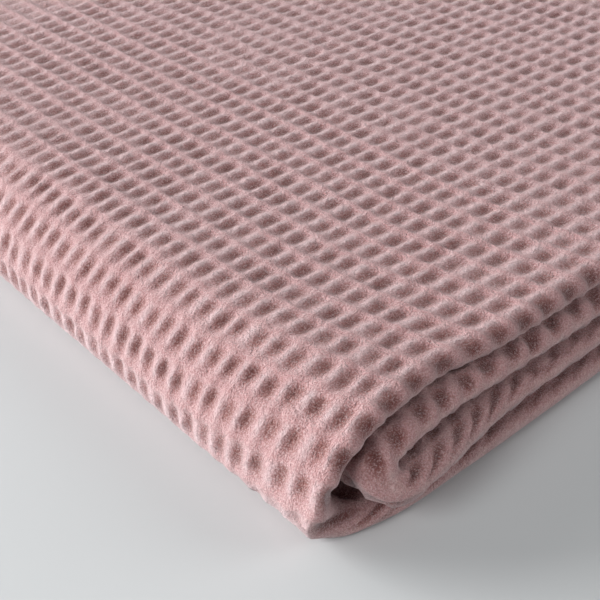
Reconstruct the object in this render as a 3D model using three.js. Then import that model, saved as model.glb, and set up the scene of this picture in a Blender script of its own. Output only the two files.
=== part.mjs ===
// Folded waffle blanket: one cloth, folded back and forth in four layers and then once in half.
// Millimetres, +Z up. The blanket lies flat on z = 0 with its last fold at -X, and the origin is
// at the middle of its underside.
import * as THREE from "three";

// Flat cloth: 1300 mm wide, halved by the last fold, and 1700 mm long, in four layers.
const FOLDED_LENGTH = 650;
const FOLDED_WIDTH = 428;
const LAYER = 4.4;
const AIR = 0.45;
const HALF_LENGTH = FOLDED_LENGTH / 2;
const HALF_WIDTH = FOLDED_WIDTH / 2;
const PITCH = LAYER + AIR;
const LAYER_COUNT = 4;
const LAST_LAYER = LAYER_COUNT - 1;
const HALF_STACK = LAYER_COUNT * PITCH - AIR / 2;
// Layers a and b are the outer pair, c and d the inner one. Counted from 0, this lies between them.
const BETWEEN_PAIRS = 1.5;

// Rounding of the cut edges and of the folds.
const HEM_REACH = 1.2;
const HEM_THINNING = 0.55;
const TURN_STEPS = 8;
const TURN_RADIUS = PITCH / 2;
const TURN_SPLIT = 2;

// Where each layer starts and stops. Setbacks are measured back from the far ends of the stack.
const LAYER_TABLE = [
  { layer: "a", farSetback: 5.0, topSetback: 11.0, bottomSetback: 13.0 },
  { layer: "b", farSetback: 0.0, topSetback: 8.0, bottomSetback: 9.5 },
  { layer: "c", farSetback: 0.0, topSetback: 2.5, bottomSetback: 4.0 },
  { layer: "d", farSetback: 8.0, topSetback: 0.0, bottomSetback: 1.5 },
];

// The last fold, seen from the side. Each row is one face of a pair of layers: its height above
// the middle of the stack, how far it stays back from the fold's front, the height of its
// foremost point, and how long its upper and lower rounding are.
const PAIR_THICKNESS = 2 * LAYER + AIR;
const INNER_INSIDE = AIR / 2;
const INNER_OUTSIDE = INNER_INSIDE + PAIR_THICKNESS;
const OUTER_INSIDE = INNER_OUTSIDE + AIR;
const FOLD_TABLE = [
  { rise: INNER_INSIDE, back: 29, front: HALF_STACK, over: 5, under: 2 },
  { rise: INNER_OUTSIDE, back: 15, front: 18, over: 19.5, under: 12 },
  { rise: OUTER_INSIDE, back: 11.5, front: 16, over: 24, under: 8 },
  { rise: HALF_STACK, back: 0, front: 11, over: 34, under: 12 },
];

// How far the rolled near edges stay back from the foremost one, along the cloth's way from the
// upper free end, round the last fold, to the lower free end. A run's place is a share of its
// length, and a turn's is in degrees. lean is how much further layer b stays back than layer a.
const WAY_TABLE = [
  { part: "upper run", at: 1, outer: 8.0, inner: 5.0, lean: 1.0 },
  { part: "upper run", at: 0.84, outer: 6.6, inner: 3.6, lean: 0.5 },
  { part: "upper run", at: 0.62, outer: 9.6, inner: 5.2, lean: 1.5 },
  { part: "upper run", at: 0.42, outer: 7.2, inner: 4.4, lean: 0.8 },
  { part: "upper run", at: 0.25, outer: 9.0, inner: 6.8, lean: 1.5 },
  { part: "upper run", at: 0.12, outer: 7.8, inner: 5.6, lean: 1.0 },
  { part: "upper run", at: 0.058, outer: 8.2, inner: 6.2, lean: 1.5 },
  { part: "upper run", at: 0.023, outer: 10.4, inner: 6.4, lean: 2.0 },
  { part: "turn", at: 0, outer: 8.6, inner: 4.9, lean: 2.5 },
  { part: "turn", at: 30, outer: 6.8, inner: 4.0, lean: 3.8 },
  { part: "turn", at: 60, outer: 5.4, inner: 2.6, lean: 5.0 },
  { part: "turn", at: 90, outer: 5.6, inner: 1.2, lean: 4.5 },
  { part: "turn", at: 120, outer: 7.4, inner: 0.6, lean: 2.0 },
  { part: "turn", at: 150, outer: 8.0, inner: 0.2, lean: 0.5 },
  { part: "turn", at: 180, outer: 6.0, inner: 0.0, lean: 0.0 },
  { part: "lower run", at: 0.02, outer: 3.2, inner: 0.6, lean: 0.0 },
  { part: "lower run", at: 0.06, outer: 2.4, inner: 2.2, lean: 0.0 },
  { part: "lower run", at: 0.12, outer: 1.8, inner: 3.2, lean: 0.4 },
  { part: "lower run", at: 0.28, outer: 3.6, inner: 4.4, lean: 0.0 },
  { part: "lower run", at: 0.5, outer: 2.2, inner: 2.4, lean: 0.6 },
  { part: "lower run", at: 0.78, outer: 4.6, inner: 5.2, lean: 0.0 },
  { part: "lower run", at: 1, outer: 3.0, inner: 4.0, lean: 0.5 },
];

// Soft rises and dips of the whole stack, as shares of its height. They fade out at z = 0.
const UNEVEN_TABLE = [
  { x: -250, y: 40, spread: 120, share: 0.02 },
  { x: -60, y: -110, spread: 100, share: -0.03 },
  { x: 120, y: 80, spread: 130, share: 0.025 },
  { x: 300, y: -60, spread: 110, share: -0.035 },
];
const RUN_SPLITS = [0, 0.2, 0.4, 0.6, 0.8, 1];

const lerp = THREE.MathUtils.lerp;

// One station for each step along the cloth's way. thin narrows the layer at its cut ends.
function wayStations() {
  const stations = [];
  const hemShare = HEM_REACH / FOLDED_LENGTH;
  WAY_TABLE.forEach((row, i) => {
    const next = WAY_TABLE[i + 1];
    const isEnd = row.part !== "turn" && row.at === 1;
    const inTurn = row.part === "turn" && next.part === "turn";
    const steps = inTurn ? TURN_SPLIT : 1;
    for (let step = 0; step < steps; step += 1) {
      const share = step / steps;
      const at = inTurn ? lerp(row.at, next.at, share) : row.at;
      const outer = inTurn ? lerp(row.outer, next.outer, share) : row.outer;
      const inner = inTurn ? lerp(row.inner, next.inner, share) : row.inner;
      const lean = inTurn ? lerp(row.lean, next.lean, share) : row.lean;
      stations.push({ part: row.part, at, outer, inner, lean, thin: isEnd ? HEM_THINNING : 1 });
    }
  });
  const first = stations[0];
  const last = stations[stations.length - 1];
  stations.splice(1, 0, { ...first, at: 1 - hemShare, thin: 1 });
  stations.splice(stations.length - 1, 0, { ...last, at: 1 - hemShare, thin: 1 });
  return stations;
}

// The middle line of the back-and-forth section, from the far edge of layer a to that of layer d.
// y runs across the stack, rise is the height above its middle, and layer counts 0 for a to 3
// for d, with fractions in the turns. (ny, nr) points to the line's left.
function middleLine() {
  const nearCentre = -HALF_WIDTH + TURN_RADIUS + LAYER / 2;
  const farCentre = HALF_WIDTH - TURN_RADIUS - LAYER / 2;
  const line = [];
  for (let layer = 0; layer <= LAST_LAYER; layer += 1) {
    const rise = HALF_STACK - LAYER / 2 - layer * PITCH;
    const goesNear = layer % 2 === 0;
    const isFree = layer === 0 || layer === LAST_LAYER;
    const farStop = isFree ? HALF_WIDTH - HEM_REACH : farCentre;
    const [from, to] = goesNear ? [farStop, nearCentre] : [nearCentre, farStop];
    const nr = goesNear ? -1 : 1;
    for (const split of RUN_SPLITS) {
      line.push({ y: lerp(from, to, split), rise, layer, ny: 0, nr });
    }
    if (layer === LAST_LAYER) {
      continue;
    }
    const side = goesNear ? -1 : 1;
    const centreY = goesNear ? nearCentre : farCentre;
    for (let step = 1; step < TURN_STEPS; step += 1) {
      const angle = (Math.PI * step) / TURN_STEPS;
      line.push({
        y: centreY + side * TURN_RADIUS * Math.sin(angle),
        rise: rise - TURN_RADIUS + TURN_RADIUS * Math.cos(angle),
        layer: layer + step / TURN_STEPS,
        ny: Math.sin(angle),
        nr: side * Math.cos(angle),
      });
    }
  }
  return line;
}

// The closed outline of the section: out along one face, round the hem, back along the other.
function sectionOutline(line, thin) {
  const half = (LAYER / 2) * thin;
  const offset = (point, side) => ({
    y: point.y + side * half * point.ny,
    rise: point.rise + side * half * point.nr,
    layer: point.layer,
  });
  const hem = (point, side) => ({
    y: point.y + HEM_REACH,
    rise: point.rise + side * half * HEM_THINNING * point.nr,
    layer: point.layer,
  });
  const start = line[0];
  const end = line[line.length - 1];
  const left = [hem(start, 1), ...line.map((point) => offset(point, 1)), hem(end, 1)];
  const right = [hem(start, -1), ...line.map((point) => offset(point, -1)), hem(end, -1)];
  return { left, right };
}

function foldShape(rise) {
  const last = FOLD_TABLE.length - 1;
  const next = Math.max(1, FOLD_TABLE.findIndex((row) => row.rise >= rise));
  const upper = FOLD_TABLE[rise >= FOLD_TABLE[last].rise ? last : next];
  const lower = FOLD_TABLE[FOLD_TABLE.indexOf(upper) - 1];
  const share = THREE.MathUtils.clamp((rise - lower.rise) / (upper.rise - lower.rise), 0, 1);
  return {
    back: lerp(lower.back, upper.back, share),
    front: lerp(lower.front, upper.front, share),
    over: lerp(lower.over, upper.over, share),
    under: lerp(lower.under, upper.under, share),
  };
}

function layerValue(column, layer) {
  const low = Math.min(Math.floor(layer), LAYER_TABLE.length - 2);
  return lerp(LAYER_TABLE[low][column], LAYER_TABLE[low + 1][column], layer - low);
}

function unevenness(x, y) {
  return UNEVEN_TABLE.reduce((sum, row) => {
    const distance = Math.hypot(x - row.x, y - row.y) / row.spread;
    return sum + row.share * Math.exp(-distance * distance);
  }, 1);
}

// Places one point of the section on the cloth's way round the last fold.
function placed(point, station) {
  const fold = foldShape(point.rise);
  const foldFront = -HALF_LENGTH + fold.back;
  let x;
  let z;
  if (station.part === "turn") {
    const angle = THREE.MathUtils.degToRad(station.at);
    const isUpper = station.at <= 90;
    const reach = isUpper ? fold.over : fold.under;
    const level = isUpper ? HALF_STACK + point.rise : HALF_STACK - point.rise;
    x = foldFront + reach - reach * Math.sin(angle);
    z = fold.front + Math.abs(level - fold.front) * Math.cos(angle);
  } else {
    const isUpper = station.part === "upper run";
    const setback = layerValue(isUpper ? "topSetback" : "bottomSetback", point.layer);
    const runStart = foldFront + (isUpper ? fold.over : fold.under);
    x = lerp(runStart, HALF_LENGTH - setback, station.at);
    z = isUpper ? HALF_STACK + point.rise : HALF_STACK - point.rise;
  }
  const nearShare = (HALF_WIDTH - point.y) / FOLDED_WIDTH;
  const isOuterPair = point.layer < BETWEEN_PAIRS;
  const depth = (HALF_STACK - point.rise) / PAIR_THICKNESS;
  const nearSetback = isOuterPair ? station.outer + station.lean * depth : station.inner;
  const farSetback = layerValue("farSetback", Math.round(point.layer));
  const y = point.y + nearSetback * nearShare - farSetback * (1 - nearShare);
  return new THREE.Vector3(x, y, z * unevenness(x, y));
}

// Skins the sections one after the other and closes the two cut ends.
function sweptCloth() {
  const line = middleLine();
  const stations = wayStations();
  const positions = [];
  let sides = 0;
  for (const station of stations) {
    const { left, right } = sectionOutline(line, station.thin);
    const outline = [...left, ...right.reverse()];
    sides = outline.length;
    for (const point of outline) {
      positions.push(...placed(point, station).toArray());
    }
  }
  const indices = [];
  const corner = (ring, side) => ring * sides + (side % sides);
  for (let ring = 0; ring < stations.length - 1; ring += 1) {
    for (let side = 0; side < sides; side += 1) {
      const a = corner(ring, side);
      const b = corner(ring, side + 1);
      const c = corner(ring + 1, side + 1);
      const d = corner(ring + 1, side);
      indices.push(a, b, c, a, c, d);
    }
  }
  const lastRing = stations.length - 1;
  for (let k = 0; k < sides / 2 - 1; k += 1) {
    const opposite = sides - 1 - k;
    indices.push(k, opposite, k + 1, k + 1, opposite, opposite - 1);
    const [a, b] = [corner(lastRing, k), corner(lastRing, k + 1)];
    const [c, d] = [corner(lastRing, opposite - 1), corner(lastRing, opposite)];
    indices.push(a, b, d, b, c, d);
  }
  const geometry = new THREE.BufferGeometry();
  geometry.setAttribute("position", new THREE.Float32BufferAttribute(positions, 3));
  geometry.setIndex(indices);
  geometry.computeVertexNormals();
  return geometry;
}

// Brushed cotton in dusty rose.
function brushedCotton() {
  return new THREE.MeshStandardMaterial({ color: 0xc4a0a2, roughness: 0.95, metalness: 0 });
}

const blanket = new THREE.Group();
const cloth = new THREE.Mesh(sweptCloth(), brushedCotton());
cloth.name = "blanket_cloth";
blanket.add(cloth);

export default blanket;
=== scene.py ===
"""Folded waffle blanket: one brushed cotton cloth, folded back and forth in four layers and then
once in half, with its last fold at -X. Lengths are millimetres, unless a comment says metres."""

import math

import bpy
import numpy as np
from mathutils import Matrix, Vector


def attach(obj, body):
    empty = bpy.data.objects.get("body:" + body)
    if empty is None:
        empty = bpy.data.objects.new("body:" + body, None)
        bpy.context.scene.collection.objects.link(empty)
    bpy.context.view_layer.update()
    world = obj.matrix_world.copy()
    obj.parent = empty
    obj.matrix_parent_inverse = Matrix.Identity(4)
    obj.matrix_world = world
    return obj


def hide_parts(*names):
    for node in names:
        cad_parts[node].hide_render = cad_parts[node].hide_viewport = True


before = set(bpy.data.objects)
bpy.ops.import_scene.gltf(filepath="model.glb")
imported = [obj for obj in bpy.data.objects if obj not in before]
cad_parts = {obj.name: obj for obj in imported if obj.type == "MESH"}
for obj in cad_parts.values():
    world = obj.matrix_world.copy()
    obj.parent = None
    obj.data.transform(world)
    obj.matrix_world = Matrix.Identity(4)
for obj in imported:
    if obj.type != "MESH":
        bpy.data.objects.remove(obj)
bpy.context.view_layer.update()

MILLIMETRE = 0.001

# The folded stack, as the solid has it. Layers a and b are the outer pair, c and d the inner one.
# Counted from 0, BETWEEN_PAIRS lies between them.
FOLDED_LENGTH = 650.0
FOLDED_WIDTH = 428.0
LAYER = 4.4
AIR = 0.45
LAYER_COUNT = 4
BETWEEN_PAIRS = 1.5
HALF_LENGTH = FOLDED_LENGTH / 2
HALF_WIDTH = FOLDED_WIDTH / 2
PITCH = LAYER + AIR
HALF_STACK = LAYER_COUNT * PITCH - AIR / 2
PAIR_THICKNESS = 2 * LAYER + AIR
INNER_INSIDE = AIR / 2
INNER_OUTSIDE = INNER_INSIDE + PAIR_THICKNESS
OUTER_INSIDE = INNER_OUTSIDE + AIR
ROLL_RADIUS = PITCH / 2
NEAR_CENTRE = -HALF_WIDTH + ROLL_RADIUS + LAYER / 2
FAR_CENTRE = -NEAR_CENTRE

# layer, far setback, upper end's setback, lower end's setback
LAYER_TABLE = [
    (0, 5.0, 11.0, 13.0),
    (1, 0.0, 8.0, 9.5),
    (2, 0.0, 2.5, 4.0),
    (3, 8.0, 0.0, 1.5),
]
LAYERS, FAR_SETBACKS, UPPER_SETBACKS, LOWER_SETBACKS = np.array(LAYER_TABLE).T

# The last fold from the side, one row for each face of a pair of layers: height above the stack's
# middle, setback of its front, height of its front, upper rounding, lower rounding
FOLD_TABLE = [
    (INNER_INSIDE, 29.0, HALF_STACK, 5.0, 2.0),
    (INNER_OUTSIDE, 15.0, 18.0, 19.5, 12.0),
    (OUTER_INSIDE, 11.5, 16.0, 24.0, 8.0),
    (HALF_STACK, 0.0, 11.0, 34.0, 12.0),
]
RISES, BACKS, FRONTS, OVERS, UNDERS = np.array(FOLD_TABLE).T
UPPER_RUN = FOLDED_LENGTH - OVERS[-1] - UPPER_SETBACKS[0]
LOWER_RUN = FOLDED_LENGTH - UNDERS[-1] - LOWER_SETBACKS[0]
TURN_STEPS = 360
TURN_ANGLES = np.linspace(0, math.pi, TURN_STEPS + 1)

# How far the rolled near edges stay back, along the cloth's way round the last fold:
# part, share of a run or degrees of the turn, outer roll, inner roll, lean of the outer roll.
# At the turn the inner roll bulges and the outer one draws in a little more than in the solid.
WAY_TABLE = [
    ("lower run", 1, 3.0, 4.0, 0.5),
    ("lower run", 0.78, 4.6, 5.2, 0.0),
    ("lower run", 0.5, 2.2, 2.4, 0.6),
    ("lower run", 0.28, 3.6, 4.4, 0.0),
    ("lower run", 0.12, 1.8, 3.2, 0.4),
    ("lower run", 0.06, 2.4, 2.0, -0.8),
    ("lower run", 0.02, 3.6, -1.6, -0.8),
    ("turn", 180, 6.6, -2.8, -1.6),
    ("turn", 150, 8.8, -2.6, -0.8),
    ("turn", 120, 7.8, -1.6, 1.4),
    ("turn", 90, 5.6, 0.4, 4.5),
    ("turn", 60, 5.4, 2.6, 5.0),
    ("turn", 30, 6.8, 4.0, 3.8),
    ("turn", 0, 8.6, 4.9, 2.5),
    ("upper run", 0.023, 10.4, 6.4, 2.0),
    ("upper run", 0.058, 8.2, 6.2, 1.5),
    ("upper run", 0.12, 7.8, 5.6, 1.0),
    ("upper run", 0.25, 9.0, 6.8, 1.5),
    ("upper run", 0.42, 7.2, 4.4, 0.8),
    ("upper run", 0.62, 9.6, 5.2, 1.5),
    ("upper run", 0.84, 6.6, 3.6, 0.5),
    ("upper run", 1, 8.0, 5.0, 1.0),
]

# Soft rises and dips of the whole stack: x, y, spread, share of its height
UNEVEN_TABLE = [
    (-250, 40, 120, 0.02),
    (-60, -110, 100, -0.03),
    (120, 80, 130, 0.025),
    (300, -60, 110, -0.035),
]

# The waffle: one cell is 10.4 mm along the stack and 7 mm across it. A pit lies on each whole row
# and column, a bar on each half row and a column ridge on each half column.
CELL_LENGTH = 10.375
CELL_WIDTH = 6.964
FIRST_PIT_X = 13.8
FIRST_PIT_Y = -152.8
PIT_DEPTH = 1.7
ROLL_PIT_DEPTH = 2.1
BAR_GROOVE = 0.35
NAP_UNEVENNESS = 0.3
SHALLOWEST_PIT = 0.75
PIT_DEPTH_VARIETY = 0.35
# How dark the pits are painted: painted shade that grows with each pit's depth
LEAST_PIT_SHADE = 0.8
PIT_SHADE_VARIETY = 0.3
CELL_WANDER = 0.2
# Powers that shape a pit. A lower one makes it fuller, towards its bars or its column ridges.
BAR_POWER = 1.0
BAR_POWER_ON_ROLL = -0.2
RIDGE_POWER = 0.22
RIDGE_POWER_VARIETY = 0.2
RIDGE_POWER_ON_ROLL = 0.35

# Rows at the bends of the cloth: near edge of a, far edge of b, near edge of c
NEAR_ROW = 6.70
FAR_ROLL_ROW = 68.0
SECOND_ROLL_ROW = 128.92
ROLL_ROWS = math.pi * ROLL_RADIUS / CELL_WIDTH
# The rows between which something changes from the top to the outer near roll
ROLL_PIT_ROWS = (5.9, 7.1)
ROLL_HEIGHT_ROWS = (6.4, 7.2)
DRIFT_ROWS = (5.5, 7.0)
# The columns lean towards +X where the top nears its rolled edge, and less far from the last fold.
LEAN_REACH = 10.7
LEAN_FIRST_ROW = -2.0
LEAN_ROWS = 9.0
LEAN_POWER = 1.5
LEAN_FADE = (150.0, 560.0)
# The inner near roll has its cells closer together, and they lean along it.
INNER_CLOSENESS = 1.11
INNER_COLUMN = 0.06
INNER_LEAN = 0.3
INNER_LEAN_ROW = math.ceil(SECOND_ROLL_ROW)
# Rows that run off the outer near roll below the last fold: place on the way, rows
DRIFT_TABLE = [
    (-110.0, -0.73),
    (-88.0, -0.53),
    (-63.0, -0.28),
    (-20.0, 0.0),
]
DRIFT_WAYS, DRIFTS = np.array(DRIFT_TABLE).T
# The top's rows follow the near roll and the far edge within these reaches.
ROLL_REACH = 35.0
FAR_EDGE_REACH = 30.0
# The relief is flat at the hems, and full from these heights above the floor upwards.
HEM_FADE = (4.0, 11.0)
RELIEF_FOOT = -3.0
RELIEF_HEIGHT = 17.0
ROLL_RELIEF_HEIGHT = 8.0

# The cloth's cut edges: reach from the last full thickness, share of the thickness
HEM_REACH = 1.2
HEM_ROUNDING = [(0.0, 1.0), (0.6, 0.9), (1.0, 0.72), (HEM_REACH, 0.45)]
ROLL_LENGTH = math.pi * ROLL_RADIUS
END_LAYER_LENGTH = HALF_WIDTH - HEM_REACH - NEAR_CENTRE
MIDDLE_LAYER_LENGTH = FAR_CENTRE - NEAR_CENTRE
# Where each stretch of the middle line starts: a, near roll, b, far roll, c, near roll, d, end
STRETCHES = [
    END_LAYER_LENGTH,
    ROLL_LENGTH,
    MIDDLE_LAYER_LENGTH,
    ROLL_LENGTH,
    MIDDLE_LAYER_LENGTH,
    ROLL_LENGTH,
    END_LAYER_LENGTH,
]
STARTS = np.cumsum([0] + STRETCHES)
CLOTH_END = STARTS[-1]
END_LAYER_ROWS = END_LAYER_LENGTH / CELL_WIDTH
ROWS = [
    NEAR_ROW - END_LAYER_ROWS,
    NEAR_ROW,
    NEAR_ROW + ROLL_ROWS,
    FAR_ROLL_ROW,
    FAR_ROLL_ROW + ROLL_ROWS,
    SECOND_ROLL_ROW,
    SECOND_ROLL_ROW + ROLL_ROWS,
    SECOND_ROLL_ROW + ROLL_ROWS + END_LAYER_ROWS,
]
FAR_ROW = ROWS[0]
# The part of the hidden layers that shows beside a near roll, and the fade of its relief
NEAR_STRETCH = 12.0
STRETCH_FADE = 6.0

# How finely the mesh is drawn: lines on faces that hardly show, and the least gap of two lines as
# a share of their step
HIDDEN_LINES = 3
PLAIN_LINES = 4
LEAST_ROLL_LINES = 6
LEAST_LINE_GAP = 0.4
# Round a ring the places run on over the underside after a gap. The ring closes past them all.
LOOP_GAP = 20.0
LOOP_END = 1e9
# The last half column that leaves room for the hem of the upper free end
LAST_RING_GAP = 2.0
RIGHT_END_COLUMN = math.floor((UPPER_RUN - LAST_RING_GAP + FIRST_PIT_X) / CELL_LENGTH * 2) / 2
# The mesh's bands, from the upper free end round the last fold to the lower one: lines a row from
# each row on, lines on a near roll, and the rings as lowest column, highest column, rings a column.
# Even two lines or rings a cell fall on its pit and on the bar or ridge beside it, which keeps the
# relief's depth. The bands are finest about the near left corner, and plainer to the right and below.
BAND_TABLE = [
    ([(FAR_ROW, 4)], 6, [(24, RIGHT_END_COLUMN, 2)]),
    ([(FAR_ROW, 2), (-33, 4), (-17, 6)], 10, [(10, 24, 4)]),
    ([(FAR_ROW, 2), (-33, 4), (-17, 6)], 12, [(-4.5, 10, 8)]),
    ([(FAR_ROW, 0.5), (4, 2)], 10, [(-11, -4.5, 4), (-40, -11, 2), (-64, -40, 1)]),
]

# What differs from cell to cell: depth, row shift, column shift and length
VARIETY_ROWS = 280
VARIETY_COLUMNS = 220
VARIETY_FIRST_ROW = -70
VARIETY_FIRST_COLUMN = -90
RIPPLE_COUNT = 14
SHORTEST_RIPPLE = 3.2
RIPPLE_VARIETY = 5.0
RIPPLE_SPREAD = 1.2
rng = np.random.default_rng(64)
CELL_VARIETY = rng.random((4, VARIETY_ROWS, VARIETY_COLUMNS))
ripple_turns = rng.random(RIPPLE_COUNT) * 2 * math.pi
ripple_lengths = SHORTEST_RIPPLE + RIPPLE_VARIETY * rng.random(RIPPLE_COUNT)
ripple_starts = rng.random(RIPPLE_COUNT) * 2 * math.pi
RIPPLE_WAVES = [
    (2 * math.pi / length * math.cos(turn), 2 * math.pi / length * math.sin(turn), start)
    for turn, length, start in zip(ripple_turns, ripple_lengths, ripple_starts)
]


def smooth_step(low, high, value):
    share = np.clip((value - low) / (high - low), 0, 1)
    return share * share * (3 - 2 * share)


def eased(at, places, values):
    """Reads a table with a soft curve through its rows."""
    at = np.clip(at, places[0], places[-1])
    k = np.clip(np.searchsorted(places, at) - 1, 0, len(places) - 2)
    slopes = np.gradient(values, places)
    step = places[k + 1] - places[k]
    s = (at - places[k]) / step
    return (
        values[k] * (1 + 2 * s) * (1 - s) ** 2
        + slopes[k] * step * s * (1 - s) ** 2
        + values[k + 1] * s * s * (3 - 2 * s)
        + slopes[k + 1] * step * s * s * (s - 1)
    )


def fold_shape(rise):
    """Setback and height of a face's front, and its upper and lower rounding."""
    return [np.interp(rise, RISES, values) for values in (BACKS, FRONTS, OVERS, UNDERS)]


def fold_point(angle, rise):
    """x and z of a point in the turn. Angle 0 is the top, 90 degrees the front."""
    back, front, over, under = fold_shape(rise)
    is_upper = angle <= math.pi / 2
    reach = np.where(is_upper, over, under)
    level = np.where(is_upper, HALF_STACK + rise, HALF_STACK - rise)
    x = -HALF_LENGTH + back + reach - reach * np.sin(angle)
    z = front + np.abs(level - front) * np.cos(angle)
    return x, z


def arc_lengths(rise):
    x, z = fold_point(TURN_ANGLES, np.full_like(TURN_ANGLES, rise))
    return np.concatenate([[0], np.cumsum(np.hypot(np.diff(x), np.diff(z)))])


TURN_ARCS = np.array([arc_lengths(rise) for rise in RISES])
OUTER_ARC = TURN_ARCS[-1, -1]


def way_place(part, at):
    """Place on the cloth's way: 0 where the turn starts, more along the upper run, less below."""
    if part == "upper run":
        return at * UPPER_RUN
    if part == "turn":
        return -np.interp(math.radians(at), TURN_ANGLES, TURN_ARCS[-1])
    return -OUTER_ARC - at * LOWER_RUN


WAY_PLACES = np.array([way_place(part, at) for part, at, *_ in WAY_TABLE])
WAY_VALUES = np.array([setbacks for _, _, *setbacks in WAY_TABLE])


def near_setbacks(way):
    """Setback of the outer roll, of the inner roll, and lean of the outer roll."""
    return [eased(way, WAY_PLACES, values) for values in WAY_VALUES.T]


def turn_angle(way):
    return np.interp(-way, TURN_ARCS[-1], TURN_ANGLES)


def own_length(way, rise):
    """How far along itself a face has come from the turn's start, less than zero past it."""
    angle = turn_angle(way)
    face_arcs = np.array([np.interp(angle, TURN_ANGLES, arcs) for arcs in TURN_ARCS])
    low = np.clip(np.searchsorted(RISES, rise) - 1, 0, len(RISES) - 2)
    share = np.clip((rise - RISES[low]) / (RISES[low + 1] - RISES[low]), 0, 1)
    low_arc = np.take_along_axis(face_arcs, low[None], 0)[0]
    high_arc = np.take_along_axis(face_arcs, (low + 1)[None], 0)[0]
    arc = low_arc + (high_arc - low_arc) * share
    beyond = np.minimum(way + OUTER_ARC, 0)
    return np.where(way >= 0, way, beyond - arc)


def placed(way, y, rise, layer):
    """Places points of the section on the cloth's way round the last fold."""
    turn_x, turn_z = fold_point(turn_angle(way), rise)
    back, _, over, under = fold_shape(rise)
    front_x = -HALF_LENGTH + back
    upper_end = HALF_LENGTH - np.interp(layer, LAYERS, UPPER_SETBACKS)
    lower_end = HALF_LENGTH - np.interp(layer, LAYERS, LOWER_SETBACKS)
    upper_share = way / UPPER_RUN
    lower_share = -(way + OUTER_ARC) / LOWER_RUN
    upper_x = front_x + over + (upper_end - front_x - over) * upper_share
    lower_x = front_x + under + (lower_end - front_x - under) * lower_share
    on_upper, on_lower = way >= 0, way < -OUTER_ARC
    x = np.where(on_upper, upper_x, np.where(on_lower, lower_x, turn_x))
    z = np.where(on_upper, HALF_STACK + rise, np.where(on_lower, HALF_STACK - rise, turn_z))
    outer, inner, lean = near_setbacks(way)
    depth = (HALF_STACK - rise) / PAIR_THICKNESS
    near = np.where(layer < BETWEEN_PAIRS, outer + lean * depth, inner)
    far = np.interp(np.floor(layer + 0.5), LAYERS, FAR_SETBACKS)
    near_share = (HALF_WIDTH - y) / FOLDED_WIDTH
    y = y + near * near_share - far * (1 - near_share)
    lift = np.ones_like(x)
    for rise_x, rise_y, spread, share in UNEVEN_TABLE:
        lift += share * np.exp(-((x - rise_x) ** 2 + (y - rise_y) ** 2) / spread**2)
    return np.stack([x, y, z * lift], -1)


def middle_line(t):
    """y, rise, layer and the outward direction of the top face, at places t along the section."""
    t = np.clip(t, 0, CLOTH_END)
    k = np.clip(np.searchsorted(STARTS, t, side="right") - 1, 0, len(STRETCHES) - 1)
    layer = k // 2
    along = t - STARTS[k]
    is_roll = k % 2 == 1
    goes_near = layer % 2 == 0
    start = np.where(k == 0, HALF_WIDTH - HEM_REACH, np.where(goes_near, FAR_CENTRE, NEAR_CENTRE))
    way = np.where(goes_near, -1.0, 1.0)
    run_rise = HALF_STACK - LAYER / 2 - layer * PITCH
    angle = along / ROLL_RADIUS
    centre = np.where(goes_near, NEAR_CENTRE, FAR_CENTRE)
    y = np.where(is_roll, centre + way * ROLL_RADIUS * np.sin(angle), start + way * along)
    rise = np.where(is_roll, run_rise - ROLL_RADIUS + ROLL_RADIUS * np.cos(angle), run_rise)
    face_y = np.where(is_roll, -np.sin(angle), 0.0)
    face_rise = np.where(is_roll, -way * np.cos(angle), -way)
    return y, rise, np.where(is_roll, layer + along / ROLL_LENGTH, layer), face_y, face_rise


def row_lines(row_steps):
    """Rows of the top's lines, from the far edge to the near roll. Each of row_steps gives a row
    and the lines a row from there on."""
    rows = [FAR_ROW]
    highs = [low for low, _ in row_steps[1:]] + [NEAR_ROW]
    for (low, per_row), high in zip(row_steps, highs):
        gap = LEAST_LINE_GAP / per_row
        for step in range(math.ceil(low * per_row), math.floor(high * per_row) + 1):
            row = step / per_row
            if rows[-1] + gap < row < min(high, NEAR_ROW - gap):
                rows.append(row)
    return rows


def evenly(start, stop, count):
    return list(np.linspace(start, stop, count, endpoint=False))


def line_places(row_steps, roll_lines):
    """Places across the section of the lines on the cloth's top face and on its underside."""
    before = [-reach for reach, _ in HEM_ROUNDING[:0:-1]]
    beyond = [CLOTH_END + reach for reach, _ in HEM_ROUNDING]
    top = [STARTS[1] - (NEAR_ROW - row) * CELL_WIDTH for row in row_lines(row_steps)]
    # Start of each stretch and its lines, from the near roll of a and b to the end
    stretches = [
        (STARTS[1], roll_lines),
        (STARTS[2], roll_lines // 2),
        (STARTS[2] + NEAR_STRETCH, HIDDEN_LINES),
        (STARTS[3], PLAIN_LINES),
        (STARTS[4], HIDDEN_LINES),
        (STARTS[5] - NEAR_STRETCH, roll_lines // 2),
        (STARTS[5], roll_lines),
        (STARTS[6], roll_lines // 2),
        (STARTS[6] + NEAR_STRETCH, PLAIN_LINES),
        (CLOTH_END, 0),
    ]
    for (start, count), (stop, _) in zip(stretches, stretches[1:]):
        top += evenly(start, stop, count)
    under = []
    for k in range(len(STRETCHES)):
        shows = STARTS[k] == STARTS[3]
        count = max(LEAST_ROLL_LINES, roll_lines) if shows else PLAIN_LINES
        under += evenly(STARTS[k], STARTS[k + 1], count)
    return before + top + beyond, before + under + beyond


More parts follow.
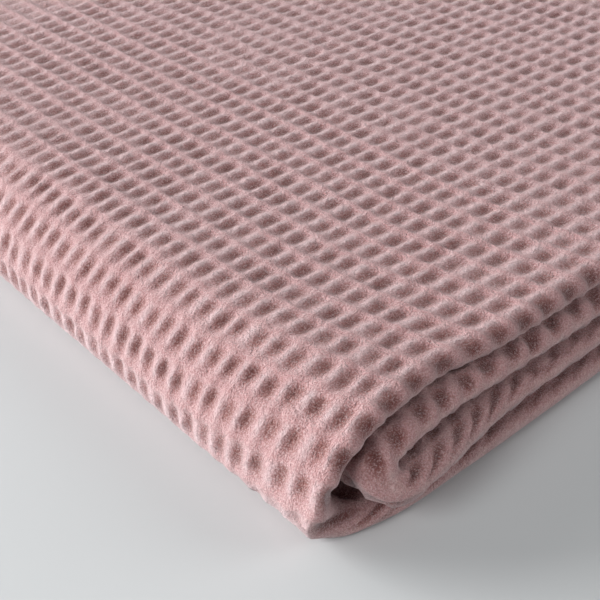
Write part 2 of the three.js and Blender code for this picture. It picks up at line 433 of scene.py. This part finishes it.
class Lines:
    """The lines of vertices that run along the cloth, at places across its section."""

    def __init__(self, row_steps, roll_lines):
        top, under = line_places(row_steps, roll_lines)
        self.t = np.array(top + under[::-1])
        self.side = np.array([1.0] * len(top) + [-1.0] * len(under))
        self.top_count = len(top)
        self.loop_place = np.where(self.side > 0, self.t, 2 * CLOTH_END + LOOP_GAP - self.t)
        self.y, self.rise, self.layer, self.face_y, self.face_rise = middle_line(self.t)
        self.beyond = np.maximum(np.maximum(-self.t, self.t - CLOTH_END), 0)
        self.from_hem = np.maximum(np.minimum(self.t, CLOTH_END - self.t), 0)
        reaches, shares = zip(*HEM_ROUNDING)
        self.thin = np.interp(self.beyond, reaches, shares)
        self.row = np.interp(self.t, STARTS, ROWS)
        self.on_top = (self.side > 0) & (self.t >= 0) & (self.t < STARTS[1])
        self.on_inner_roll = (self.t > STARTS[5] - NEAR_STRETCH) & (self.t < STARTS[6] + NEAR_STRETCH)
        self.shown = self.shown_share()
        # Painted shade: 0 on the outer face, 1 from the outer near roll on, where the near side takes
        # the darker copy of the nap's colours.
        self.shaded_side_share = smooth_step(0, ROLL_RADIUS, self.t - STARTS[1])

    def shown_share(self):
        """1 where the face can be seen and has its relief, 0 where the layers lie on each other."""
        b_end = STARTS[2] + NEAR_STRETCH
        c_start = STARTS[5] - NEAR_STRETCH
        d_end = STARTS[6] + NEAR_STRETCH
        near_b = 1 - smooth_step(b_end - STRETCH_FADE, b_end, self.t)
        near_c = smooth_step(c_start, c_start + STRETCH_FADE, self.t)
        near_d = 1 - smooth_step(d_end - STRETCH_FADE, d_end, self.t)
        far_roll = (self.t >= STARTS[3]) & (self.t <= STARTS[4])
        on_top_face = np.maximum(near_b, near_c * near_d)
        return np.where(self.side > 0, on_top_face, np.where(far_roll, 1.0, 0.0))


def ripples(across, along):
    """Small lumps of the brushed surface, between 0 and 1."""
    total = 0
    for wave_across, wave_along, start in RIPPLE_WAVES:
        total = total + np.sin(across * wave_across + along * wave_along + start)
    return 0.5 + 0.5 * np.clip(total / (RIPPLE_SPREAD * RIPPLE_COUNT**0.5), -1, 1)


def waffle(row, column):
    """Drop below the ridges, and how far a point is in a pit and on a column ridge, from 0 to 1."""
    i, j = np.round(row).astype(int), np.round(column).astype(int)
    i_variety = (i - VARIETY_FIRST_ROW) % VARIETY_ROWS
    j_variety = (j - VARIETY_FIRST_COLUMN) % VARIETY_COLUMNS
    depth_share, row_shift, column_shift, length_share = (
        shares[i_variety, j_variety] for shares in CELL_VARIETY
    )
    across, along = row - i, column - j
    # Each pit wanders in its cell, and the cell's edges stay in place.
    across = across + (row_shift - 0.5) * CELL_WANDER * (1 - 4 * across**2)
    along = along + (column_shift - 0.5) * CELL_WANDER * (1 - 4 * along**2)
    trough = 0.5 + 0.5 * np.cos(2 * math.pi * across)
    middle = 0.5 + 0.5 * np.cos(2 * math.pi * along)
    on_roll = smooth_step(*ROLL_PIT_ROWS, row)
    ridge_power = RIDGE_POWER + RIDGE_POWER_VARIETY * length_share + RIDGE_POWER_ON_ROLL * on_roll
    pit = trough ** (BAR_POWER + BAR_POWER_ON_ROLL * on_roll) * middle**ridge_power
    depth = PIT_DEPTH + (ROLL_PIT_DEPTH - PIT_DEPTH) * on_roll
    drop = depth * (SHALLOWEST_PIT + PIT_DEPTH_VARIETY * depth_share) * pit
    # A groove on each side of a column ridge parts the bars from it.
    drop += BAR_GROOVE * 4 * middle * (1 - middle) * (1 - trough)
    drop += NAP_UNEVENNESS * ripples(row * CELL_WIDTH, column * CELL_LENGTH)
    # The returned pit share sets the painted shade in the pits.
    return drop, pit * (LEAST_PIT_SHADE + PIT_SHADE_VARIETY * depth_share), (1 - middle) ** 2


def column_lean(row):
    """How far the columns lean towards +X where the cloth nears its rolled edge."""
    return LEAN_REACH * np.clip((row - LEAN_FIRST_ROW) / LEAN_ROWS, 0, 1) ** LEAN_POWER


def row_drift(way, row):
    """Rows that run off the outer near roll below the last fold, where its edge leaves the thread."""
    drift = np.interp(way, DRIFT_WAYS, DRIFTS)
    return drift * smooth_step(*DRIFT_ROWS, row) * (row < FAR_ROLL_ROW)


def top_row_y(way, lines):
    """y of the top's rows: straight, but along the near roll and the far edge where they are near."""
    outer, _, _ = near_setbacks(way)
    far = FAR_SETBACKS[0]
    squeeze = 1 - (outer + far) / FOLDED_WIDTH
    shift = (outer - far) / 2
    roll_y = NEAR_CENTRE * squeeze + shift
    from_roll = (NEAR_ROW - lines.row)[None] * CELL_WIDTH
    straight_y = FIRST_PIT_Y - lines.row[None] * CELL_WIDTH
    straight_share = smooth_step(0, ROLL_REACH, from_roll)
    top_y = roll_y + from_roll + (straight_y - roll_y - from_roll) * straight_share
    far_edge = (HALF_WIDTH - HEM_REACH) * squeeze + shift
    edge_share = smooth_step(FAR_EDGE_REACH, 0, lines.t)[None]
    top_y = top_y + (far_edge - lines.t[None] - top_y) * edge_share
    return (top_y - shift) / squeeze


def cloth_rings(ways, lines, thin):
    """Vertices of the rings at ways, one for each line, and the marks that its colours go by."""
    way_line = np.array(ways)[:, None] * np.ones_like(lines.t)[None]
    from_end = np.minimum(UPPER_RUN - way_line, way_line + OUTER_ARC + LOWER_RUN)
    nominal_row = NEAR_ROW - (lines.y - NEAR_CENTRE) / CELL_WIDTH
    lean = column_lean(nominal_row)[None] * (1 - smooth_step(*LEAN_FADE, np.abs(way_line)))
    way = way_line + lean
    y = np.where(lines.on_top[None], top_row_y(way, lines), lines.y[None]) + lines.beyond[None]

    row = lines.row[None] + row_drift(way, lines.row[None])
    column = (FIRST_PIT_X + own_length(way, lines.rise[None] + 0 * way) - lean) / CELL_LENGTH
    inner_column = column * INNER_CLOSENESS + INNER_COLUMN + INNER_LEAN * (row - INNER_LEAN_ROW)
    column = np.where(lines.on_inner_roll[None], inner_column, column)
    layer = lines.layer[None] + 0 * way
    half = LAYER / 2 * lines.thin[None] * np.array(thin)[:, None]
    smooth_face = placed(way, y, lines.rise + lines.side * half * lines.face_rise, layer)
    drop, pit, between = waffle(row + 0 * way, column)
    off_hem = smooth_step(*HEM_FADE, lines.from_hem)[None] * smooth_step(*HEM_FADE, from_end)
    on_roll = smooth_step(*ROLL_HEIGHT_ROWS, row)
    full_height = RELIEF_HEIGHT - (RELIEF_HEIGHT - ROLL_RELIEF_HEIGHT) * on_roll
    amount = lines.shown[None] * off_hem * smooth_step(RELIEF_FOOT, full_height, smooth_face[..., 2])
    reach = lines.side * (half - drop * amount)
    points = placed(way, y + reach * lines.face_y, lines.rise + reach * lines.face_rise, layer)
    # The marks carry the painted shade of the pits and of the near side, and where the column ridges
    # lie.
    return points, {"pit": pit * amount, "between": between, "shaded_side_share": lines.shaded_side_share[None] + 0 * pit}


def zipped(first, second, first_at, second_at):
    """Triangles that fill the strip between two rows of vertices."""
    faces, i, j = [], 0, 0
    while i < len(first) - 1 or j < len(second) - 1:
        from_first = j == len(second) - 1 or (i < len(first) - 1 and first_at[i + 1] <= second_at[j + 1])
        if from_first:
            faces.append((first[i], second[j], first[i + 1]))
            i += 1
        else:
            faces.append((first[i], second[j], second[j + 1]))
            j += 1
    return faces


def end_cap(lines, ring):
    """Triangles between the top face's and the underside's part of an end ring."""
    count, total = lines.top_count, len(lines.t)
    top, under = ring[:count], ring[count:total][::-1]
    return zipped(top, under, lines.t[:count], lines.t[count:][::-1])


def column_ways(low, high, per_column):
    """Places on the way of the rings between two columns of the waffle."""
    count = round((high - low) * per_column)
    return [CELL_LENGTH * (high - k / per_column) - FIRST_PIT_X for k in range(count)]


def cloth_bands():
    """Lines, places of the rings and their thinning, band by band. At the two free ends the cloth
    thins inwards, so the hem there is a shallow hollow."""
    reaches, shares = map(list, zip(*HEM_ROUNDING))
    lines = [Lines(row_steps, roll_lines) for row_steps, roll_lines, _ in BAND_TABLE]
    ways = [sum((column_ways(*columns) for columns in rings), []) for _, _, rings in BAND_TABLE]
    thins = [[1.0] * len(band_ways) for band_ways in ways]
    ways[0] = [UPPER_RUN - reach for reach in reaches[::-1]] + ways[0]
    thins[0] = shares[::-1] + thins[0]
    ways[-1] += [-OUTER_ARC - LOWER_RUN + reach for reach in reaches]
    thins[-1] += shares
    return list(zip(lines, ways, thins))


def waffle_blanket():
    """The whole cloth as one closed mesh."""
    points, faces, first_index = [], [], 0
    marks = {"pit": [], "between": [], "shaded_side_share": []}
    last_ring, last_at = None, None
    bands = cloth_bands()
    for lines, ways, thin in bands:
        band_points, band_marks = cloth_rings(ways, lines, thin)
        ring_count, line_count = len(ways), len(lines.t)
        index = first_index + np.arange(ring_count * line_count).reshape(ring_count, line_count)
        index = np.concatenate([index, index[:, :1]], 1)
        at = np.append(lines.loop_place, LOOP_END)
        corners = index[:-1, :-1], index[1:, :-1], index[1:, 1:], index[:-1, 1:]
        faces += np.stack([corner.ravel() for corner in corners], 1).tolist()
        if last_ring is None:
            faces += end_cap(lines, index[0])
        else:
            faces += zipped(last_ring, index[0], last_at, at)
        last_ring, last_at = index[-1], at
        points.append(band_points.reshape(-1, 3))
        for name, values in band_marks.items():
            marks[name].append(values.ravel())
        first_index += ring_count * line_count
    faces += [face[::-1] for face in end_cap(bands[-1][0], last_ring)]
    mesh = bpy.data.meshes.new("waffle_blanket")
    mesh.from_pydata((np.concatenate(points) * MILLIMETRE).tolist(), [], faces)
    for name, values in marks.items():
        attribute = mesh.attributes.new(name, "FLOAT", "POINT")
        attribute.data.foreach_set("value", np.concatenate(values).astype(np.float32))
    mesh.shade_smooth()
    blanket = bpy.data.objects.new("waffle_blanket", mesh)
    bpy.context.scene.collection.objects.link(blanket)
    return blanket


# Colours of the nap by how deep in a pit it lies: place, colour. The darkening towards the pits is
# painted shade.
# The outer face takes the first row. The near side takes the second, darker one, which is painted shade
# of that side.
OUTER_FACE_NAP = [(0.2, "#DDC3C5"), (0.5, "#C49999"), (0.85, "#AA7874"), (1.0, "#9C6A65")]
SHADED_SIDE_NAP = [(0.15, "#E6C6C5"), (0.4, "#C69997"), (0.75, "#93605C"), (1.0, "#74433F")]
COLUMN_RIDGE_ROSE = "#C89B9B"
FIBRE_TIP_ROSE = "#EBD3D5"
FIBRE_HOLLOW_ROSE = "#7A4440"
# A painted sheen: the pale colour mixed in where a face is seen from the side
PAINTED_SHEEN_ROSE = "#E6D6D9"
BRUSHING_CLOUD = "#F6EEEE"
PLAIN_WHITE = "#FFFFFF"
# Cotton fibres are about 0.02 mm thick, too fine to show, so they are drawn as tufts of 0.5 mm.
# The brushing gathers them in clumps of 1.4 mm, and leaves clouds of 22 mm.
# Of each: how many in a millimetre, detail and roughness of the noise
TUFTS = (2.1, 3.0, 0.6)
CLUMPS = (0.7, 3.0, 0.6)
CLOUDS = (0.045, 2.0, 0.5)
# Levels of the tufts' noise between the tufts, half way up them and at their tips
TUFT_FOOT = 0.34
TUFT_MIDDLE = 0.5
TUFT_TIP = 0.66
CLUMP_IN_PIT = 0.5
CLUMP_HEIGHT = 1.3
TIP_STRENGTH = 0.5
HOLLOW_STRENGTH = 0.3
# The hollows are darker in the pits, as painted shade
HOLLOW_SHADE_IN_PIT = 0.5
# How the painted sheen grows where a face is seen from the side
SIDEWAYS_POWER = 3.0
SIDEWAYS_STRENGTH = 0.58
NAP_HEIGHT_METRES = 0.001


def linear(hex_colour):
    """sRGB hex to linear red, green, blue and a full alpha."""
    parts = [int(hex_colour[k : k + 2], 16) / 255 for k in (1, 3, 5)]
    return [c / 12.92 if c <= 0.04045 else ((c + 0.055) / 1.055) ** 2.4 for c in parts] + [1.0]


def add_node(tree, kind, settings=None, stops=(), **sockets):
    """Adds a node with its properties and, on a ramp, its stops. A socket goes by its name with _
    for a space, or by _ and its number, and takes a value or another node's output."""
    made = tree.nodes.new(kind)
    for name, value in (settings or {}).items():
        setattr(made, name, value)
    if stops:
        elements = made.color_ramp.elements
        while len(elements) < len(stops):
            elements.new(0.5)
        for element, (position, colour) in zip(elements, stops):
            element.position, element.color = position, linear(colour)
    for name, value in sockets.items():
        is_numbered = name[1:].isdigit()
        socket = made.inputs[int(name[1:]) if is_numbered else name.replace("_", " ")]
        if isinstance(value, bpy.types.NodeSocket):
            tree.links.new(value, socket)
        else:
            socket.default_value = value
    return made


def brushed_cotton_waffle():
    """Cotton waffle cloth, woven in raised cells and then brushed on both faces with wire cards.
    To the eye it is quite matt. Its colour is paler on the bars and darker and redder in the pits, which
    is painted shade, darker still on the near side, painted shade too, and paler where a face is seen
    from the side, which is a painted sheen."""
    material = bpy.data.materials.new("brushed_cotton_waffle")
    material.use_nodes = True
    tree = material.node_tree
    tree.nodes.clear()
    multiply, multiply_add, power = (
        {"operation": operation} for operation in ("MULTIPLY", "MULTIPLY_ADD", "POWER")
    )
    mix, tint = ({"data_type": "RGBA", "blend_type": blend} for blend in ("MIX", "MULTIPLY"))
    place = add_node(tree, "ShaderNodeTexCoord").outputs["Object"]
    pit, between, shaded_side_share = (
        add_node(tree, "ShaderNodeAttribute", {"attribute_name": name}).outputs["Fac"]
        for name in ("pit", "between", "shaded_side_share")
    )
    tufts, clumps, clouds = (
        add_node(
            tree,
            "ShaderNodeTexNoise",
            Vector=place,
            Scale=per_mm / MILLIMETRE,
            Detail=detail,
            Roughness=rough,
        ).outputs["Fac"]
        for per_mm, detail, rough in (TUFTS, CLUMPS, CLOUDS)
    )

    # The nap's colour, from the pits to the bars, with painted shade in the pits and more painted shade
    # on the near side, and the column ridges between the cells
    depth = add_node(tree, "ShaderNodeMath", multiply_add, _0=clumps, _1=CLUMP_IN_PIT, _2=pit).outputs[0]
    outer_face, shaded_side = (
        add_node(tree, "ShaderNodeValToRGB", stops=stops, Fac=depth).outputs["Color"]
        for stops in (OUTER_FACE_NAP, SHADED_SIDE_NAP)
    )
    nap = add_node(tree, "ShaderNodeMix", mix, _0=shaded_side_share, _6=outer_face, _7=shaded_side).outputs[2]
    cells = add_node(
        tree, "ShaderNodeMix", mix, _0=between, _6=nap, _7=linear(COLUMN_RIDGE_ROSE)
    ).outputs[2]

    # Pale fibre tips, and dark hollows between the tufts, which are darker in the pits as painted shade
    tips, hollows = (
        add_node(
            tree,
            "ShaderNodeMapRange",
            Value=tufts,
            From_Min=TUFT_MIDDLE,
            From_Max=level,
            To_Min=0.0,
            To_Max=strength,
        ).outputs[0]
        for level, strength in ((TUFT_TIP, TIP_STRENGTH), (TUFT_FOOT, 1.0))
    )
    hollow_strength = add_node(
        tree, "ShaderNodeMath", multiply_add, _0=pit, _1=HOLLOW_SHADE_IN_PIT, _2=HOLLOW_STRENGTH
    ).outputs[0]
    hollow_share = add_node(tree, "ShaderNodeMath", multiply, _0=hollows, _1=hollow_strength).outputs[0]
    tipped = add_node(
        tree, "ShaderNodeMix", mix, _0=tips, _6=cells, _7=linear(FIBRE_TIP_ROSE)
    ).outputs[2]
    tufted = add_node(
        tree, "ShaderNodeMix", mix, _0=hollow_share, _6=tipped, _7=linear(FIBRE_HOLLOW_ROSE)
    ).outputs[2]

    # A painted sheen, paler where a face is seen from the side, and the clouds of the brushing
    facing = add_node(tree, "ShaderNodeLayerWeight", Blend=0.5).outputs["Facing"]
    sideways = add_node(tree, "ShaderNodeMath", power, _0=facing, _1=SIDEWAYS_POWER).outputs[0]
    sheen = add_node(tree, "ShaderNodeMath", multiply, _0=sideways, _1=SIDEWAYS_STRENGTH).outputs[0]
    painted_sheen_colour = add_node(
        tree, "ShaderNodeMix", mix, _0=sheen, _6=tufted, _7=linear(PAINTED_SHEEN_ROSE)
    ).outputs[2]
    clouded = add_node(
        tree, "ShaderNodeMix", tint, _0=clouds, _6=painted_sheen_colour, _7=linear(BRUSHING_CLOUD)
    ).outputs[2]

    height = add_node(
        tree, "ShaderNodeMath", multiply_add, _0=clumps, _1=CLUMP_HEIGHT, _2=tufts
    ).outputs[0]
    bump = add_node(tree, "ShaderNodeBump", Strength=1.0, Distance=NAP_HEIGHT_METRES, Height=height)
    shader = add_node(
        tree,
        "ShaderNodeBsdfPrincipled",
        Base_Color=clouded,
        Roughness=0.95,
        IOR=1.5,
        Normal=bump.outputs[0],
        Sheen_Weight=0.3,
        Sheen_Roughness=0.45,
        Sheen_Tint=linear(PLAIN_WHITE),
        Specular_IOR_Level=0.15,
    )
    add_node(tree, "ShaderNodeOutputMaterial", {"is_active_output": True}, Surface=shader.outputs[0])
    return material


FLOOR_REACH_METRES = 6.0
# Clouds of about 330 mm, where passes of the roller overlap
FLOOR_CLOUDS_PER_METRE = 3.0
FLOOR_GREY = "#C6C9CA"
FLOOR_PALE_GREY = "#CACCCD"


def pale_floor_paint():
    """Matt emulsion, rolled on: even and dull, with a hardly seen cloudiness from the roller."""
    material = bpy.data.materials.new("pale_floor_paint")
    material.use_nodes = True
    tree = material.node_tree
    tree.nodes.clear()
    place = add_node(tree, "ShaderNodeTexCoord").outputs["Object"]
    clouds = add_node(
        tree, "ShaderNodeTexNoise", Vector=place, Scale=FLOOR_CLOUDS_PER_METRE, Detail=2.0
    ).outputs["Fac"]
    paint = add_node(
        tree,
        "ShaderNodeMix",
        {"data_type": "RGBA"},
        _0=clouds,
        _6=linear(FLOOR_GREY),
        _7=linear(FLOOR_PALE_GREY),
    ).outputs[2]
    shader = add_node(tree, "ShaderNodeBsdfPrincipled", Base_Color=paint, Roughness=0.6)
    add_node(tree, "ShaderNodeOutputMaterial", Surface=shader.outputs[0])
    return material


def lay_floor():
    mesh = bpy.data.meshes.new("floor")
    reach = FLOOR_REACH_METRES
    corners = [(-reach, -reach, 0), (reach, -reach, 0), (reach, reach, 0), (-reach, reach, 0)]
    mesh.from_pydata(corners, [], [(0, 1, 2, 3)])
    floor = bpy.data.objects.new("floor", mesh)
    floor.data.materials.append(pale_floor_paint())
    bpy.context.scene.collection.objects.link(floor)
    return floor


# The photograph's view: the camera's place in metres and its axes
PHOTO_EYE = (-0.4539, -0.3529, 0.2334)
PHOTO_RIGHT = (0.74892, -0.66243, -0.01747)
PHOTO_UP = (0.40843, 0.44068, 0.79936)
PHOTO_FORWARD = (0.52182, 0.60579, -0.60059)
PHOTO_LENS = 67.8
PHOTO_SENSOR = 36
NEAREST_METRES = 0.01

# Soft round panels about the near left corner:
# name, degrees from +X towards +Y, degrees up, metres away, metres across, watts
LIT_PLACE = Vector((-0.26, -0.12, 0.02))
PANELS = [
    ("low_window", 125, 12, 2.6, 1.65, 122.0),
    ("low_window_side", 75, 12, 2.6, 1.4, 15.0),
    ("high_window", 105, 28, 2.6, 1.4, 17.0),
    ("left_wall", 180, 34, 2.6, 1.4, 42.0),
    ("front_wall", 315, 25, 2.6, 1.6, 27.0),
]
ROOM_WHITE = "#E6E9EC"
ROOM_STRENGTH = 0.13


def set_camera():
    lens = bpy.data.cameras.new("photo_view")
    camera = bpy.data.objects.new("photo_view", lens)
    bpy.context.scene.collection.objects.link(camera)
    rows = [
        [right, up, -forward, eye]
        for right, up, forward, eye in zip(PHOTO_RIGHT, PHOTO_UP, PHOTO_FORWARD, PHOTO_EYE)
    ]
    camera.matrix_world = Matrix(rows + [[0, 0, 0, 1]])
    lens.sensor_width = PHOTO_SENSOR
    lens.lens = PHOTO_LENS
    lens.clip_start = NEAREST_METRES
    bpy.context.scene.camera = camera


def soft_panel(name, place, across, watts):
    lamp = bpy.data.lights.new(name, "AREA")
    lamp.shape = "DISK"
    lamp.size = across
    lamp.energy = watts
    panel = bpy.data.objects.new(name, lamp)
    bpy.context.scene.collection.objects.link(panel)
    panel.location = place
    panel.rotation_euler = (LIT_PLACE - place).to_track_quat("-Z", "Y").to_euler()


def light_room():
    world = bpy.data.worlds.new("soft_room")
    world.use_nodes = True
    room = world.node_tree.nodes["Background"]
    room.inputs["Color"].default_value = linear(ROOM_WHITE)
    room.inputs["Strength"].default_value = ROOM_STRENGTH
    bpy.context.scene.world = world
    for name, turn, height, distance, across, watts in PANELS:
        turn, height = math.radians(turn), math.radians(height)
        away = (math.cos(turn) * math.cos(height), math.sin(turn) * math.cos(height), math.sin(height))
        soft_panel(name, LIT_PLACE + Vector(away) * distance, across, watts)


blanket = waffle_blanket()
blanket.data.materials.append(brushed_cotton_waffle())
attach(blanket, "root")
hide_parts("blanket_cloth")
floor = lay_floor()
set_camera()
light_room()
bpy.context.scene.view_settings.view_transform = "Standard"
